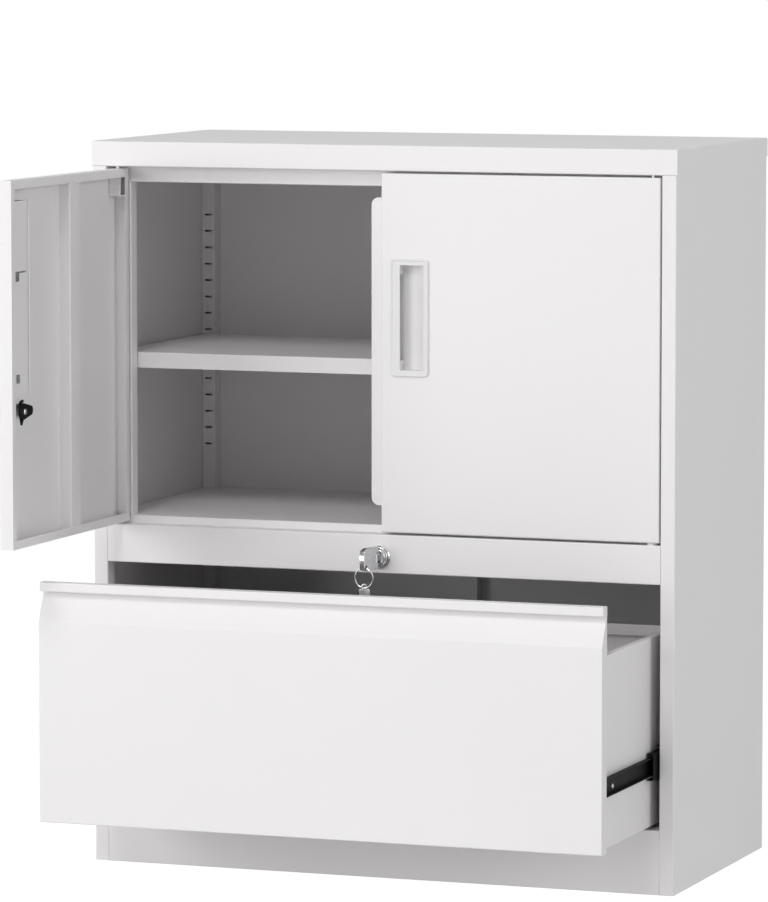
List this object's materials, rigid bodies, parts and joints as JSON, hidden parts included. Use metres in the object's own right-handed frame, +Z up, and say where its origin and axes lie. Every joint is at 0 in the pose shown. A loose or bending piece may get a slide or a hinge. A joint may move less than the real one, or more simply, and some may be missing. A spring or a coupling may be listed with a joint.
{
  "type": "filing cabinet",
  "caption": "White steel storage cabinet with hinged upper doors over an adjustable shelf and a lateral filing drawer on telescopic slides, with cam locks.",
  "frame": {"origin": "middle of the case's footprint, on the floor", "axes": "+X to the right seen from the front, +Y from the front to the back, +Z up; the left door stands open at a right angle and the drawer is drawn out, as pictured"},
  "size_m": [0.8, 0.7555, 0.95],
  "materials": {
    "white_paint": "satin powder coat",
    "white_plastic": "satin moulded plastic",
    "lock_chrome": "bright nickel plate",
    "black_steel": "black electrophoretic coat",
    "zinc_steel": "bright zinc plate",
    "nylon": "natural nylon"
  },
  "bodies": {
    "case": {"top_cap": "white_paint", "mid_rail": "white_paint", "compartment_floor": "white_paint", "plinth": "white_paint", "base_pan": "white_paint", "base_corner_gussets": "white_paint", "door_header": "white_paint", "shelf": "white_paint", "shelf_clips": "zinc_steel", "hinge_washers": "nylon", "drawer_lock_body": "lock_chrome", "drawer_lock_nut": "zinc_steel", "left_side_panel": "white_paint", "right_side_panel": "white_paint", "left_back_panel": "white_paint", "right_back_panel": "white_paint", "left_front_upright": "white_paint", "right_front_upright": "white_paint", "left_rear_upright": "white_paint", "right_rear_upright": "white_paint", "left_slide_bracket": "white_paint", "right_slide_bracket": "white_paint", "left_slide_outer": "black_steel", "right_slide_outer": "black_steel"},
    "left_door": {"left_door_skin": "white_paint", "left_door_stiffener": "white_paint", "left_door_handle": "white_plastic", "left_handle_channel": "white_paint", "left_hinge_brackets": "white_paint", "left_hinge_pins": "zinc_steel", "door_lock_body": "lock_chrome", "door_lock_nut": "zinc_steel"},
    "right_door": {"right_door_skin": "white_paint", "right_door_stiffener": "white_paint", "right_door_handle": "white_plastic", "right_handle_channel": "white_paint", "right_hinge_brackets": "white_paint", "right_hinge_pins": "zinc_steel", "right_door_tongue": "white_paint"},
    "door_lock": {"door_lock_plug": "lock_chrome", "door_lock_cam": "black_steel"},
    "drawer_lock": {"drawer_lock_plug": "lock_chrome", "drawer_lock_cam": "black_steel", "drawer_key": "lock_chrome"},
    "drawer": {"drawer_front": "white_paint", "drawer_front_liner": "white_paint", "drawer_bottom": "white_paint", "drawer_back": "white_paint", "hanging_rails": "white_paint", "left_drawer_side": "white_paint", "right_drawer_side": "white_paint", "left_slide_inner": "black_steel", "right_slide_inner": "black_steel"},
    "slide_middles": {"left_slide_middle": "black_steel", "right_slide_middle": "black_steel"},
    "outer_cages": {"left_outer_ball_cage": "zinc_steel", "right_outer_ball_cage": "zinc_steel"},
    "inner_cages": {"left_inner_ball_cage": "zinc_steel", "right_inner_ball_cage": "zinc_steel"}
  },
  "joints": [
    {"name": "left_door_hinge", "type": "hinge", "parent": "case", "child": "left_door", "pos_m": [-0.3665, -0.192, 0.6825], "axis": [0, 0, -1], "range_deg": [-90, 20]},
    {"name": "right_door_hinge", "type": "hinge", "parent": "case", "child": "right_door", "pos_m": [0.3665, -0.192, 0.6825], "axis": [0, 0, 1], "range_deg": [0, 110]},
    {"name": "drawer_slide", "type": "slide", "parent": "case", "child": "drawer", "axis": [0, -1, 0], "range_m": [-0.23, 0.11]},
    {"name": "slide_middle_travel", "type": "slide", "parent": "case", "child": "slide_middles", "axis": [0, -1, 0], "range_m": [-0.0414, 0.0198]},
    {"name": "outer_cage_travel", "type": "slide", "parent": "case", "child": "outer_cages", "axis": [0, -1, 0], "range_m": [-0.0207, 0.0099]},
    {"name": "inner_cage_travel", "type": "slide", "parent": "case", "child": "inner_cages", "axis": [0, -1, 0], "range_m": [-0.1357, 0.0649]},
    {"name": "door_lock_turn", "type": "hinge", "parent": "left_door", "child": "door_lock", "pos_m": [-0.3665, -0.5315, 0.624], "axis": [1, 0, 0], "range_deg": [0, 180]},
    {"name": "drawer_lock_turn", "type": "hinge", "parent": "case", "child": "drawer_lock", "pos_m": [0, -0.19, 0.419], "axis": [0, 1, 0], "range_deg": [0, 90]}
  ],
  "couplings": [
    {"joint": "slide_middle_travel", "follows": "drawer_slide", "ratio": 0.18},
    {"joint": "outer_cage_travel", "follows": "drawer_slide", "ratio": 0.09},
    {"joint": "inner_cage_travel", "follows": "drawer_slide", "ratio": 0.59}
  ]
}
